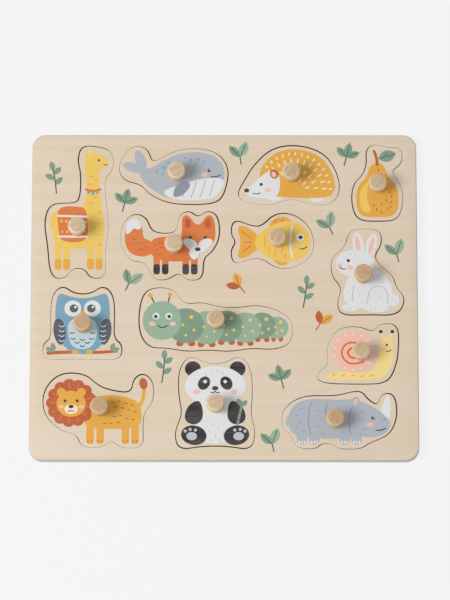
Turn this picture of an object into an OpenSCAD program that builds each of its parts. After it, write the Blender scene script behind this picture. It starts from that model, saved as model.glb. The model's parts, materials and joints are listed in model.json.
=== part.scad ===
// Peg puzzle for small children, in millimetres.
// A plywood tray with thirteen shaped recesses is glued to a backing sheet. Each recess holds
// a lift-out figure, sawn from the same sheet as the tray, with a turned knob glued into it.
// The board lies in the XY plane with its front edge at -Y and its underside at Z = 0.

/* [Board] */
// Width of the board, left to right
board_w = 340; // [338:1:380]
// Depth of the board, front to back
board_d = 300; // [298:1:340]
// Radius of the board's corners
corner_r = 12; // [6:0.5:16]
// Thickness of the backing sheet
back_t = 3; // [2:0.5:5]
// Thickness of the tray, and of the figures that are sawn from it
tray_t = 6; // [4:0.5:9]
// Width of the sanded bevel round the board's upper and lower edges
ease = 0.8; // [0.4:0.1:1.2]

/* [Figures] */
// Gap between a figure and the wall of its recess, when centred
gap = 0.6; // [0.6:0.05:1.2]
// How far a figure has settled towards one side of its recess
seat_play = 0.45; // [0:0.05:0.5]
// Straight steps along each bend of an outline
bend_steps = 8; // [4:1:12]

/* [Knobs] */
// Diameter of a knob at its rim
knob_d = 16; // [13:0.5:20]
// Height of a knob above the figure
knob_h = 17; // [13:0.5:22]
// Diameter of a knob's foot, where it stands on the figure
foot_d = 10.5; // [9:0.5:12]
// Height of the rim's upright band
band_h = 2.5; // [1:0.5:4]
// Radius of the rounded edge round a knob's flat top
crown_r = 2; // [0.5:0.5:3]
// Diameter of the tenon that is glued into the figure
tenon_d = 7; // [5:0.5:8]
// Thickness of the glue line round a tenon
glue_t = 0.05; // [0.05:0.01:0.1]

/* [Hidden] */
$fn = 64;
face_z = back_t + tray_t;
cut_through = 1;
arc_steps = 6;
flare_steps = 8;
// Corner that the knob's hollow flare bends round: out from the foot, and share of the way up
flare_out = 0.4;
flare_up = 0.45;
// Angle between the directions in which neighbouring figures have settled
settle_turn = 137;

// Colours of the woods
sheet_wood = "#dbcab2";
sheet_white = "#e4e2dd";
knob_wood = "#cdaf87";

// Control points of each figure's sawn outline, round its knob, in drawing units.
// The outline touches every side of this control polygon at its middle.
llama_outline = [
    [-26, -49], [-29, -14], [-33, 10], [-27, 29], [-6, 29], [3, 32], [4, 60], [0, 76], [4, 90], [18, 90],
    [35, 85], [36, 65], [27, 57], [28, 34], [32, 6], [28, -20], [29, -49], [14, -50], [8, -39], [-5, -39],
    [-11, -50]
];
whale_outline = [
    [49, -16], [53, 10], [38, 28], [6, 30], [-14, 20], [-25, 14], [-29, 29], [-42, 33], [-52, 24], [-59, 8],
    [-52, -5], [-36, -8], [-26, -20], [-6, -29], [20, -30], [41, -28]
];
hedgehog_outline = [
    [-44, -28], [-55, -20], [-46, -3], [-36, 14], [-18, 31], [8, 34], [34, 25], [47, 3], [49, -18],
    [39, -30], [18, -29], [8, -24], [-6, -24], [-18, -30]
];
pear_outline = [
    [-26, -16], [-20, -34], [0, -35], [20, -34], [26, -16], [24, 4], [13, 18], [25, 26], [25, 43], [10, 43],
    [-4, 47], [-11, 40], [-10, 26], [-14, 14], [-24, 4]
];
fox_outline = [
    [-19, -33], [-24, -23], [-30, -14], [-44, -13], [-54, 4], [-52, 25], [-41, 37], [-28, 33], [-23, 18],
    [-10, 15], [3, 17], [5, 35], [15, 40], [24, 32], [33, 40], [44, 35], [46, 12], [38, -4], [29, -10],
    [29, -32], [14, -34], [5, -25], [-6, -33]
];
fish_outline = [
    [38, 0], [32, 18], [16, 30], [-2, 30], [-15, 16], [-26, 17], [-43, 24], [-46, 9], [-40, 0], [-46, -9],
    [-43, -24], [-26, -17], [-14, -17], [0, -28], [18, -27], [34, -16]
];
rabbit_outline = [
    [-23, -40], [-27, -27], [-21, -10], [-32, 2], [-33, 22], [-18, 33], [-14, 52], [0, 54], [18, 53],
    [20, 38], [11, 24], [18, 13], [31, 3], [34, -10], [44, -22], [36, -40], [6, -39]
];
owl_outline = [
    [-37, -33], [-39, -18], [-30, -11], [-31, 10], [-30, 33], [-20, 43], [-8, 34], [8, 34], [20, 43],
    [30, 33], [31, 10], [30, -11], [39, -18], [37, -33], [14, -32], [-14, -32]
];
inchworm_outline = [
    [-77, -8], [-76, 22], [-68, 38], [-42, 38], [-32, 20], [-14, 23], [6, 17], [24, 17], [42, 20], [62, 15],
    [78, 4], [77, -20], [60, -27], [36, -25], [16, -29], [-8, -27], [-28, -29], [-48, -25], [-67, -25]
];
snail_outline = [
    [-44, -30], [-46, -19], [-33, -10], [-36, 10], [-24, 30], [-2, 32], [13, 25], [20, 35], [39, 34],
    [39, 8], [36, -12], [27, -30], [0, -31]
];
lion_outline = [
    [-17, -38], [-22, -24], [-38, -21], [-55, -4], [-56, 20], [-40, 39], [-14, 38], [-1, 25], [14, 20],
    [32, 18], [34, 33], [44, 39], [54, 29], [53, 8], [44, -2], [43, -18], [44, -38], [22, -39], [13, -30],
    [3, -38]
];
panda_outline = [
    [-34, -41], [-38, -24], [-30, -6], [-34, 12], [-34, 38], [-24, 52], [-8, 43], [8, 43], [24, 52],
    [34, 38], [35, 12], [33, -6], [38, -24], [34, -41], [12, -37], [-12, -37]
];
rhino_outline = [
    [-40, -27], [-44, -14], [-56, -3], [-52, 17], [-32, 29], [0, 28], [14, 32], [27, 34], [34, 24],
    [44, 18], [48, 31], [61, 31], [64, 8], [57, -11], [44, -18], [34, -22], [26, -28], [4, -28], [-4, -22],
    [-14, -22], [-20, -28]
];

// Each figure: name, place of its recess on the board, size of a drawing unit, colour of its
// print and outline
FIGURES = [
    ["llama", [-130, 60], 0.88, "#ecc660", llama_outline],
    ["whale", [-42, 111], 0.88, "#adb4be", whale_outline],
    ["hedgehog", [59, 111], 0.88, "#e2a842", hedgehog_outline],
    ["pear", [135, 100], 0.88, "#e2a842", pear_outline],
    ["fox", [-44, 44], 0.88, "#da783e", fox_outline],
    ["fish", [46, 50], 0.88, "#ecc660", fish_outline],
    ["rabbit", [122, 16], 0.85, "#e8e9ea", rabbit_outline],
    ["owl", [-124, -29], 0.9, "#70a6be", owl_outline],
    ["inchworm", [-8, -26], 0.87, "#93b098", inchworm_outline],
    ["snail", [120, -55], 0.84, "#f0beae", snail_outline],
    ["lion", [-109, -105], 0.88, "#e2a842", lion_outline],
    ["panda", [-8, -103], 0.93, "#e8e9ea", panda_outline],
    ["rhino", [97, -116], 0.85, "#adb4be", rhino_outline]
];

// Point at t on the bend from one side's middle to the next side's middle
function bend(from, corner, to, t) =
    (1 - t) * (1 - t) * from + 2 * t * (1 - t) * corner + t * t * to;

// Smooth closed outline inside a control polygon
function smooth(points) = [
    for (i = [0 : len(points) - 1])
        let (
            before = points[(i + len(points) - 1) % len(points)],
            corner = points[i],
            after = points[(i + 1) % len(points)]
        )
        for (k = [0 : bend_steps - 1])
            bend((before + corner) / 2, corner, (corner + after) / 2, k / bend_steps)
];

// Points along a quarter of the knob's rounded edge, from its side up to its top
function crown_arc() = [
    for (k = [0 : arc_steps])
        let (a = 90 * k / arc_steps)
        [knob_d / 2 - crown_r + crown_r * cos(a), knob_h - crown_r + crown_r * sin(a)]
];

// Points along the knob's hollow flare, from its foot up to its rim
function flare_curve() = [
    for (k = [0 : flare_steps - 1])
        let (rim_z = knob_h - crown_r - band_h)
        bend(
            [foot_d / 2, 0], [foot_d / 2 + flare_out, rim_z * flare_up], [knob_d / 2, rim_z],
            k / flare_steps
        )
];

function unit_size(figure) = figure[2];

function drawing(figure) = smooth(figure[4]);

// Shift of a figure inside its recess
function settled(i) = seat_play * [cos(i * settle_turn), sin(i * settle_turn)];

// Flat outline of a figure, centred on its knob
module figure_outline(figure) {
    scale(unit_size(figure)) polygon(drawing(figure));
}

// Bar of the bevelled upper layer, with sloping long sides
module bevel_bar(length, width) {
    rotate([90, 0, 90])
        linear_extrude(length, center = true)
            polygon([
                [-width / 2, 0], [width / 2, 0], [width / 2 - ease, ease], [ease - width / 2, ease]
            ]);
}

// Rounded rectangular sheet with a sanded bevel round its upper face
module sheet(thickness) {
    straight_w = board_w - 2 * corner_r;
    straight_d = board_d - 2 * corner_r;
    body_t = thickness - ease;
    linear_extrude(body_t) {
        square([board_w, straight_d], center = true);
        square([straight_w, board_d], center = true);
        for (x = [-1, 1], y = [-1, 1])
            translate([x * straight_w / 2, y * straight_d / 2]) circle(corner_r);
    }
    translate([0, 0, body_t]) {
        bevel_bar(straight_w, board_d);
        rotate(90) bevel_bar(straight_d, board_w);
        for (x = [-1, 1], y = [-1, 1])
            translate([x * straight_w / 2, y * straight_d / 2])
                cylinder(h = ease, r1 = corner_r, r2 = corner_r - ease);
    }
}

// Thin sheet that closes the recesses from below
module backing_board() {
    color(sheet_white) translate([0, 0, back_t]) mirror([0, 0, 1]) sheet(back_t);
}

// Upper sheet with one sawn opening for each figure
module tray() {
    color(sheet_wood)
        translate([0, 0, back_t])
            difference() {
                sheet(tray_t);
                for (figure = FIGURES)
                    translate([figure[1].x, figure[1].y, -cut_through])
                        linear_extrude(tray_t + 2 * cut_through)
                            offset(delta = gap) figure_outline(figure);
            }
}

// Lift-out figure, drilled through for its knob's tenon
module piece(i) {
    place = FIGURES[i][1] + settled(i);
    color(FIGURES[i][3])
        translate([place.x, place.y, back_t])
            difference() {
                linear_extrude(tray_t) figure_outline(FIGURES[i]);
                translate([0, 0, -cut_through])
                    cylinder(d = tenon_d + 2 * glue_t, h = tray_t + 2 * cut_through);
            }
}

// Turned knob with its tenon
module knob(i) {
    place = FIGURES[i][1] + settled(i);
    color(knob_wood)
        translate([place.x, place.y, face_z])
            rotate_extrude()
                polygon(concat(
                    [[0, -tray_t], [tenon_d / 2, -tray_t], [tenon_d / 2, 0]],
                    flare_curve(),
                    [[knob_d / 2, knob_h - crown_r - band_h]],
                    crown_arc(),
                    [[0, knob_h]]
                ));
}

backing_board();
tray();
for (i = [0 : len(FIGURES) - 1]) {
    piece(i);
    knob(i);
}
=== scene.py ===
"""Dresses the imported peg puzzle: woods, printed figures, turned knobs, light and camera."""

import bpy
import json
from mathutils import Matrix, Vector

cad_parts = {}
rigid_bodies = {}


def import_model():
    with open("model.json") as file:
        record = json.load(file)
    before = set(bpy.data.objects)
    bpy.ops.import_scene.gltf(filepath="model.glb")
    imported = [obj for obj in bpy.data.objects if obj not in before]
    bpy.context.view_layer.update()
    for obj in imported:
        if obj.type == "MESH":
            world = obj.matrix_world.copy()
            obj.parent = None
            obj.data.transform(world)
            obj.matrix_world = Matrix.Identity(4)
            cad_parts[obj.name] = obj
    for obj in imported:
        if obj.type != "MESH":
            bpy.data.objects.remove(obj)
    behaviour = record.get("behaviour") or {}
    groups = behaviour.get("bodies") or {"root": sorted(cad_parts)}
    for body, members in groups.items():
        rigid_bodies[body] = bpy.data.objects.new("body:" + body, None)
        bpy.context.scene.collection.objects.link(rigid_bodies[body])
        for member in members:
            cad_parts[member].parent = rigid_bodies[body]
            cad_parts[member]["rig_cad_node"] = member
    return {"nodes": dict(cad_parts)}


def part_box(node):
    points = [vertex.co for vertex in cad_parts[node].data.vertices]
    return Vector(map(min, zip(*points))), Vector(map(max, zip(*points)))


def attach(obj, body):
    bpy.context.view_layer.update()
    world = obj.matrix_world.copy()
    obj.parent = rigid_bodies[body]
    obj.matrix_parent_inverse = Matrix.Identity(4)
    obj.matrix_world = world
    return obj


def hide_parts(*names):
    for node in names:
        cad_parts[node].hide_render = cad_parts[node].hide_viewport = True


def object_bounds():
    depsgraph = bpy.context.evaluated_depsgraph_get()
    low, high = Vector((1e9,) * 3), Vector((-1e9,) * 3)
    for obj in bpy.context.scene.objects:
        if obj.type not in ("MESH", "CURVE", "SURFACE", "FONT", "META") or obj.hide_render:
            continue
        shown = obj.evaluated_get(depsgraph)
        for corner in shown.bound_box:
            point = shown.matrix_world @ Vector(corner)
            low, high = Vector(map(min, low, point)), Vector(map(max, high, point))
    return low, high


bl_info = {
    "name": "Peg puzzle",
    "version": (1, 0, 0),
    "blender": (4, 5, 0),
    "location": "View3D > Sidebar > Peg puzzle",
    "description": "Dresses a wooden peg puzzle with thirteen printed lift-out figures",
    "category": "Object",
}

import json
import math
from collections import namedtuple

import bpy
from mathutils import Vector

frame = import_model()
cad_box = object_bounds()

MM = 0.001

# Each figure: the record's slot of its main ink, the millimetres of a drawing unit, which its sawn
# outline shares, and which of the three tones of beech its knob has
Figure = namedtuple("Figure", "slot unit tone")
FIGURES = {
    "llama": Figure("printed_yellow", 0.88, 0),
    "whale": Figure("printed_grey", 0.88, 0),
    "hedgehog": Figure("printed_ochre", 0.88, 1),
    "pear": Figure("printed_ochre", 0.88, 1),
    "fox": Figure("printed_orange", 0.88, 0),
    "fish": Figure("printed_yellow", 0.88, 1),
    "rabbit": Figure("printed_white", 0.85, 2),
    "owl": Figure("printed_blue", 0.9, 2),
    "inchworm": Figure("printed_green", 0.87, 1),
    "snail": Figure("printed_pink", 0.84, 1),
    "lion": Figure("printed_ochre", 0.88, 2),
    "panda": Figure("printed_white", 0.93, 0),
    "rhino": Figure("printed_grey", 0.85, 2),
}

# Where the leaf sprigs are printed on the tray, in millimetres, with their turn in degrees and kind
SPRIGS = [
    (-149, 100, 8, "branch"),
    (-88, 86, -14, "three_leaves"),
    (14, 129, 8, "two_leaves"),
    (108, 129, -14, "three_leaves"),
    (93, 63, 24, "two_leaves"),
    (152, 38, 14, "two_leaves"),
    (70, -6, -8, "branch"),
    (14, 8, 40, "autumn_leaves"),
    (-84, 11, -24, "two_leaves"),
    (84, -26, -34, "autumn_leaves"),
    (50, -77, 14, "three_leaves"),
    (-54, -75, -6, "branch"),
    (42, -136, 12, "two_leaves"),
]
# Millimetres of a drawing unit of the sprigs
SPRIG_UNIT = 1.6


def linear(code):
    """Linear colour of an sRGB hex code, with full alpha."""
    channels = [int(code[i:i + 2], 16) / 255 for i in (0, 2, 4)]
    return tuple(c / 12.92 if c <= 0.04045 else ((c + 0.055) / 1.055) ** 2.4 for c in channels) + (1.0,)


def colour(name, description, code):
    """Colour setting with a default given as an sRGB hex code."""
    return bpy.props.FloatVectorProperty(
        name=name, description=description, subtype="COLOR", size=4, min=0, max=1, default=linear(code)
    )


def length(name, description, default):
    """Length setting in metres."""
    return bpy.props.FloatProperty(
        name=name, description=description, unit="LENGTH", min=0, precision=6, default=default
    )


def angle(name, description, degrees):
    """Angle setting, given in degrees."""
    return bpy.props.FloatProperty(
        name=name, description=description, subtype="ANGLE", default=math.radians(degrees)
    )


class WoodSettings(bpy.types.PropertyGroup):
    """Colours of the woods and of the hardboard"""

    veneer: colour("Veneer", "Pale ground of the birch faces", "E0CFBB")
    veneer_figure: colour("Veneer figure", "Darker bands that run along the birch faces", "D9C5AA")
    veneer_pore: colour("Veneer pores", "Short fine pores in the birch faces", "C8AC88")
    # Both ply tones are set greyer and darker than the birch faces
    ply_pale: colour("Pale plies", "Long grain of the plies in a sealed plywood edge", "D3CBC0")
    ply_dark: colour("Dark plies", "End grain of the plies in a sealed plywood edge", "BCB1A4")
    scorch: colour("Scorched cut", "Walls that were cut by a laser", "582C0C")
    scorch_pale: colour("Pale scorch", "Less burnt streaks in a laser-cut wall", "925726")
    hardboard: colour("Hardboard", "White face of the hardboard", "CFCCC7")
    beech_pale: colour("Pale beech", "Sides of the palest knobs", "DDC9A8")
    beech: colour("Beech", "Sides of the middling knobs", "D8C09A")
    beech_ruddy: colour("Ruddy beech", "Sides of the reddest knobs", "D1B188")
    # The colours of the knobs' tops are set darker than their sides as painted shade
    shaded_end_pale: colour("Pale end grain", "Tops of the palest knobs", "D4BD9E")
    end: colour("End grain", "Tops of the middling knobs", "CDB391")
    shaded_end_ruddy: colour("Ruddy end grain", "Tops of the reddest knobs", "C5A580")
    beech_grain: colour("Beech grain", "Growth rings, pores and flecks of the knobs", "A5835D")


class InkSettings(bpy.types.PropertyGroup):
    """Colours of the printing inks"""

    yellow: colour("Yellow", "Llama and fish", "ECC660")
    ochre: colour("Ochre", "Hedgehog, pear and lion", "E2A842")
    orange: colour("Orange", "Fox and saddle cloth", "DA783E")
    coral: colour("Coral", "Snail's spiral and llama's collar", "D66C46")
    rust: colour("Rust", "Mane, branch and short marks", "BA5C34")
    grey: colour("Grey", "Whale and rhino", "ADB4BE")
    slate_blue: colour("Slate blue", "Whale's fin and rhino's folds", "8A94A4")
    blue: colour("Blue", "Owl", "74A2B8")
    pale_blue: colour("Pale blue", "Owl's breast", "BED4DC")
    slate: colour("Slate", "Owl's wings", "505662")
    green: colour("Green", "Paler rings of the inchworm", "93B098")
    leaf: colour("Leaf green", "Leaves and the inchworm's darker rings", "7A9983")
    dark_leaf: colour("Dark leaf green", "Stems and veins", "46604F")
    pink: colour("Pink", "Cheeks and shell", "F0BEAE")
    white: colour("White", "Rabbit and panda", "E0E2E4")
    cream: colour("Cream", "Hedgehog's spines and lion's muzzle", "F5E4C8")
    cream_yellow: colour("Cream yellow", "Snail's body", "F2D88C")
    pale_grey: colour("Pale grey", "Thin lines on white fur", "BEC0C4")
    charcoal: colour("Charcoal", "Eyes, mouths and paws", "2A2A32")


class SizeSettings(bpy.types.PropertyGroup):
    """Sizes of the finish"""

    edge_round: length("Eased edge", "Width of the sanded edge of sawn plywood", 0.3 * MM)
    ink_film: length("Ink film", "Height of the first film of ink above the wood", 0.02 * MM)
    film_step: length("Film step", "Height that each later film of ink adds", 0.004 * MM)
    film_root: length("Film root", "Depth that the ink soaks into the wood", 0.02 * MM)
    tenon: length("Tenon", "Diameter of a knob's tenon", 7 * MM)
    foot: length("Foot", "Diameter of a knob's foot", 10.5 * MM)
    band: length("Band", "Height of the upright band round a knob's rim", 2.5 * MM)
    crown: length("Crown", "Radius of the rounded edge round a knob's top", 2 * MM)


class StageSettings(bpy.types.PropertyGroup):
    """Backdrop, light and camera"""

    backdrop: colour("Backdrop", "Pale studio floor and background", "F5F5F5")
    fill: bpy.props.FloatProperty(
        name="Fill", description="Strength of the even light from all round", min=0, default=0.52
    )
    glow: bpy.props.FloatProperty(
        name="Floor glow", description="Share of the floor's colour that no shadow darkens", subtype="FACTOR",
        min=0, max=1, default=0.9,
    )
    key: bpy.props.FloatProperty(
        name="Key", description="Power of the soft window light, in watts", subtype="POWER", unit="POWER",
        min=0, default=105.0,
    )
    key_distance: length("Key distance", "From the board to the window light", 4.0)
    key_size: length("Key size", "Width of the window light", 2.0)
    key_height: angle("Key height", "Angle of the window light above the board", 48)
    key_turn: angle("Key turn", "Angle of the window light from the left towards the front", 21)
    camera_height: angle("Camera height", "Angle of the camera above the board", 72.04)
    camera_roll: angle("Camera roll", "Turn of the camera about its own line of sight", 0.04)
    camera_distance: length("Camera distance", "From the board's face to the camera", 4.741)
    lens: bpy.props.FloatProperty(
        name="Lens", description="Focal length on a sensor 36 mm high", unit="CAMERA", min=1, default=324,
    )


class PegPuzzleSettings(bpy.types.PropertyGroup):
    """All settings of the peg puzzle"""

    wood: bpy.props.PointerProperty(type=WoodSettings)
    ink: bpy.props.PointerProperty(type=InkSettings)
    size: bpy.props.PointerProperty(type=SizeSettings)
    stage: bpy.props.PointerProperty(type=StageSettings)


# Objects and nodes

BUMP_STRENGTH = 0.5


def only(piece):
    """Makes one object the only selected one, and the active one."""
    bpy.ops.object.select_all(action="DESELECT")
    piece.select_set(True)
    bpy.context.view_layer.objects.active = piece


def add_node(tree, kind, settings=None, inputs=None):
    """Adds a node: a socket among its inputs is linked, and any other value is set."""
    node = tree.nodes.new(kind)
    for name, value in (settings or {}).items():
        setattr(node, name, value)
    for name, value in (inputs or {}).items():
        if isinstance(value, bpy.types.NodeSocket):
            tree.links.new(value, node.inputs[name])
        else:
            node.inputs[name].default_value = value
    return node


def new_material(name):
    """Empty node material, and its tree."""
    material = bpy.data.materials.new(name)
    material.use_nodes = True
    material.node_tree.nodes.clear()
    return material, material.node_tree


def finish_material(tree, base, roughness, gloss, height, bump_distance):
    """Closes a material: base colour, roughness, strength of its gloss and a bump of that depth in metres."""
    bump = add_node(
        tree,
        "ShaderNodeBump",
        inputs={"Strength": BUMP_STRENGTH, "Distance": bump_distance, "Height": height},
    )
    shader = add_node(
        tree,
        "ShaderNodeBsdfPrincipled",
        inputs={
            "Base Color": base,
            "Roughness": roughness,
            "Specular IOR Level": gloss,
            "Normal": bump.outputs["Normal"],
        },
    )
    add_node(tree, "ShaderNodeOutputMaterial", inputs={"Surface": shader.outputs["BSDF"]})


def streaks(tree, spacing, detail=2.0, distortion=0.0, turn=0.0):
    """Noise between 0 and 1, drawn out to the spacing along X, Y and Z in millimetres, turned about Z."""
    place = add_node(tree, "ShaderNodeTexCoord")
    stretch = add_node(
        tree,
        "ShaderNodeMapping",
        {"vector_type": "TEXTURE"},
        {
            "Vector": place.outputs["Object"],
            "Rotation": (0, 0, math.radians(turn)),
            "Scale": [s * MM for s in spacing],
        },
    )
    noise = add_node(
        tree,
        "ShaderNodeTexNoise",
        inputs={
            "Vector": stretch.outputs["Vector"],
            "Scale": 1.0,
            "Detail": detail,
            "Distortion": distortion,
        },
    )
    return noise.outputs["Fac"]


def mixed(first, second, share):
    """Colour a share of the way from the first to the second."""
    return tuple(a + (b - a) * share for a, b in zip(first, second))


def stain(tree, base, tint, pattern, low, high, share=1.0):
    """Base colour that goes up to a share of the way to a tint, as a pattern rises from low to high."""
    strength = add_node(
        tree,
        "ShaderNodeMapRange",
        inputs={"Value": pattern, "From Min": low, "From Max": high, "To Max": share},
    )
    # Sockets 0, 6 and 7 are the share and the two colours
    layer = add_node(
        tree, "ShaderNodeMix", {"data_type": "RGBA"}, {0: strength.outputs["Result"], 6: base, 7: tint}
    )
    return layer.outputs[2]


# Materials

# Thickness of one ply
PLY = 1.2 * MM
# Part of a pair of plies over which the first gives way to the second
PLY_CHANGE = (0.47, 0.53)
# Sideways part of the normal over which the long edges' look gives way to that of the short ones
SHORT_EDGE = (0.6, 0.8)


def birch_veneer(wood):
    """Rotary-cut birch, sanded and matt varnished: pale, with soft bands along the sheet and fine pores."""
    material, tree = new_material("birch_veneer")
    bands = streaks(tree, (260, 11, 11), detail=3.0, distortion=0.4)
    lines = streaks(tree, (70, 1.8, 1.8), detail=3.0)
    pores = streaks(tree, (9, 0.7, 0.7))
    base = stain(tree, wood.veneer, wood.veneer_figure, bands, 0.35, 0.68, 0.6)
    base = stain(tree, base, wood.veneer_figure, lines, 0.46, 0.75, 0.6)
    base = stain(tree, base, wood.veneer_pore, pores, 0.6, 0.75, 0.25)
    roughness = add_node(
        tree,
        "ShaderNodeMapRange",
        inputs={"Value": bands, "From Min": 0.2, "From Max": 0.8, "To Min": 0.55, "To Max": 0.65},
    )
    finish_material(
        tree, base, roughness.outputs["Result"], gloss=0.25, height=lines, bump_distance=0.03 * MM
    )
    return material


def ply_edge(wood, underside):
    """Sawn and sanded plywood edge, a little grey: pale long grain and dark end grain, ply by ply."""
    material, tree = new_material("ply_edge")
    lines = streaks(tree, (18, 18, 0.3))
    ends = streaks(tree, (0.5, 0.5, 0.5))
    place = add_node(tree, "ShaderNodeTexCoord")
    axes = add_node(tree, "ShaderNodeSeparateXYZ", inputs={"Vector": place.outputs["Object"]})
    rise = add_node(
        tree, "ShaderNodeMath", {"operation": "SUBTRACT"}, {0: axes.outputs["Z"], 1: underside}
    )
    pairs = add_node(
        tree, "ShaderNodeMath", {"operation": "DIVIDE"}, {0: rise.outputs["Value"], 1: 2 * PLY}
    )
    in_pair = add_node(tree, "ShaderNodeMath", {"operation": "FRACT"}, {0: pairs.outputs["Value"]})
    cross_ply = add_node(
        tree,
        "ShaderNodeMapRange",
        inputs={
            "Value": in_pair.outputs["Value"],
            "From Min": PLY_CHANGE[0],
            "From Max": PLY_CHANGE[1],
        },
    )
    # The face plies' grain runs along X, so the plies change places on the short edges
    surface = add_node(tree, "ShaderNodeNewGeometry")
    facing = add_node(tree, "ShaderNodeSeparateXYZ", inputs={"Vector": surface.outputs["Normal"]})
    sideways = add_node(tree, "ShaderNodeMath", {"operation": "ABSOLUTE"}, {0: facing.outputs["X"]})
    short_edge = add_node(
        tree,
        "ShaderNodeMapRange",
        inputs={
            "Value": sideways.outputs["Value"],
            "From Min": SHORT_EDGE[0],
            "From Max": SHORT_EDGE[1],
        },
    )
    change = add_node(
        tree,
        "ShaderNodeMath",
        {"operation": "SUBTRACT"},
        {0: cross_ply.outputs["Result"], 1: short_edge.outputs["Result"]},
    )
    end_grain = add_node(tree, "ShaderNodeMath", {"operation": "ABSOLUTE"}, {0: change.outputs["Value"]})
    pale = stain(tree, wood.ply_pale, wood.ply_dark, lines, 0.35, 0.7, 0.35)
    dark = stain(tree, wood.ply_dark, wood.veneer_pore, ends, 0.35, 0.7, 0.35)
    base = stain(tree, pale, dark, end_grain.outputs["Value"], 0, 1)
    finish_material(tree, base, roughness=0.7, gloss=0.25, height=ends, bump_distance=0.06 * MM)
    return material


def scorched_cut(wood):
    """Laser-cut plywood wall: burnt brown, with upright streaks where the beam stepped along."""
    material, tree = new_material("scorched_cut")
    steps = streaks(tree, (0.6, 0.6, 30))
    plies = streaks(tree, (40, 40, 1.6))
    base = stain(tree, wood.scorch, wood.scorch_pale, steps, 0.35, 0.75, 0.6)
    base = stain(tree, base, wood.scorch, plies, 0.4, 0.7, 0.5)
    finish_material(tree, base, roughness=0.9, gloss=0.05, height=steps, bump_distance=0.05 * MM)
    return material


def white_hardboard(wood):
    """Hardboard with a rolled white lacquer: even and matt, with the roller's faint stipple."""
    material, tree = new_material("white_hardboard")
    stipple = streaks(tree, (1.4, 1.4, 1.4), detail=3.0)
    clouds = streaks(tree, (45, 45, 45))
    shade = mixed(wood.hardboard, wood.ply_dark, 0.12)
    base = stain(tree, wood.hardboard, shade, clouds, 0.3, 0.7, 0.5)
    base = stain(tree, base, shade, stipple, 0.55, 0.75, 0.35)
    finish_material(tree, base, roughness=0.55, gloss=0.35, height=stipple, bump_distance=0.04 * MM)
    return material


def turned_beech(name, tone, grain):
    """Turned and matt varnished beech: pale sides with soft upright streaks and short flecks."""
    material, tree = new_material(name)
    bands = streaks(tree, (2.6, 2.6, 40))
    pores = streaks(tree, (0.5, 0.5, 6))
    flecks = streaks(tree, (0.9, 0.9, 2.5))
    base = stain(tree, tone, grain, bands, 0.35, 0.7, 0.25)
    base = stain(tree, base, grain, pores, 0.5, 0.75, 0.25)
    base = stain(tree, base, grain, flecks, 0.62, 0.72, 0.3)
    finish_material(tree, base, roughness=0.45, gloss=0.4, height=pores, bump_distance=0.03 * MM)
    return material


def shaded_beech_end_grain(name, tone, grain, turn):
    """Sanded end grain with soft, uneven growth rings, its tone set darker than the sides as painted shade.
    """
    material, tree = new_material(name)
    rings = streaks(tree, (16, 2.4, 16), detail=3.0, distortion=0.6, turn=turn)
    clouds = streaks(tree, (5, 5, 5))
    pores = streaks(tree, (0.5, 0.5, 0.5))
    base = stain(tree, tone, grain, rings, 0.38, 0.68, 0.4)
    base = stain(tree, base, grain, clouds, 0.4, 0.75, 0.2)
    base = stain(tree, base, grain, pores, 0.58, 0.75, 0.35)
    finish_material(tree, base, roughness=0.6, gloss=0.3, height=pores, bump_distance=0.03 * MM)
    return material


def printed_ink(name, ink, wood):
    """Screen-printed matt ink on birch: flat and opaque, a little thin where it sank into the grain."""
    material, tree = new_material(name)
    lines = streaks(tree, (60, 1.7, 1.7), detail=3.0)
    pores = streaks(tree, (9, 0.7, 0.7))
    clouds = streaks(tree, (16, 9, 9), detail=3.0)
    worn = mixed(ink, wood.veneer_figure, 0.22)
    base = stain(tree, ink, worn, clouds, 0.35, 0.7, 0.35)
    base = stain(tree, base, worn, lines, 0.5, 0.72, 0.35)
    base = stain(tree, base, worn, pores, 0.6, 0.75, 0.4)
    finish_material(tree, base, roughness=0.7, gloss=0.2, height=lines, bump_distance=0.02 * MM)
    return material


def ink_material(settings, name):
    """Material of one ink, made when it is first asked for."""
    known = bpy.data.materials.get("ink_" + name)
    return known or printed_ink("ink_" + name, getattr(settings.ink, name), settings.wood)


# Sawn pieces

MERGE_DISTANCE = 0.001 * MM
FLAT_ANGLE = math.radians(0.3)
SHARP_ANGLE = math.radians(40)
SMOOTH_ANGLE = math.radians(20)
# Parts of the tray this near its outside belong to the outer edge, and not to a recess
OUTER_EDGE = 5 * MM
EASED_STEPS = 2
# Upward part of a normal that a flat face has at least, and a cut wall at most
FLAT_LEAST = 0.9
WALL_MOST = 0.2


def sawn_copy(node, name, edge_round):
    """Copy of a CAD node, merged to one clean solid, with its sharp edges eased as by sandpaper."""
    only(frame["nodes"][node])
    bpy.ops.object.duplicate()
    piece = bpy.context.object
    piece.name = name
    piece.data.name = name
    piece.parent = None
    del piece["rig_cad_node"]
    piece.data.materials.clear()
    bpy.ops.object.mode_set(mode="EDIT")
    bpy.ops.mesh.select_all(action="SELECT")
    bpy.ops.mesh.remove_doubles(threshold=MERGE_DISTANCE)
    bpy.ops.mesh.dissolve_limited(angle_limit=FLAT_ANGLE)
    bpy.ops.object.mode_set(mode="OBJECT")
    bpy.ops.object.modifier_add(type="BEVEL")
    easing = piece.modifiers[-1]
    easing.width = edge_round
    easing.segments = EASED_STEPS
    easing.limit_method = "ANGLE"
    easing.angle_limit = SHARP_ANGLE
    bpy.ops.object.modifier_apply(modifier=easing.name)
    bpy.ops.object.shade_smooth_by_angle(angle=SMOOTH_ANGLE)
    return piece


def is_flat(face):
    """Whether a face lies about in the plane of the board."""
    return abs(face.normal.z) > FLAT_LEAST


def is_upright(face):
    """Whether a face is a cut wall, and not the sanded edge above or below it."""
    return abs(face.normal.z) < WALL_MOST


def put_in_place(piece, body, node):
    """Lets a piece ride on a body in place of a CAD node, which is hidden."""
    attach(piece, body)
    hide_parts(node)


# Drawing


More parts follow.
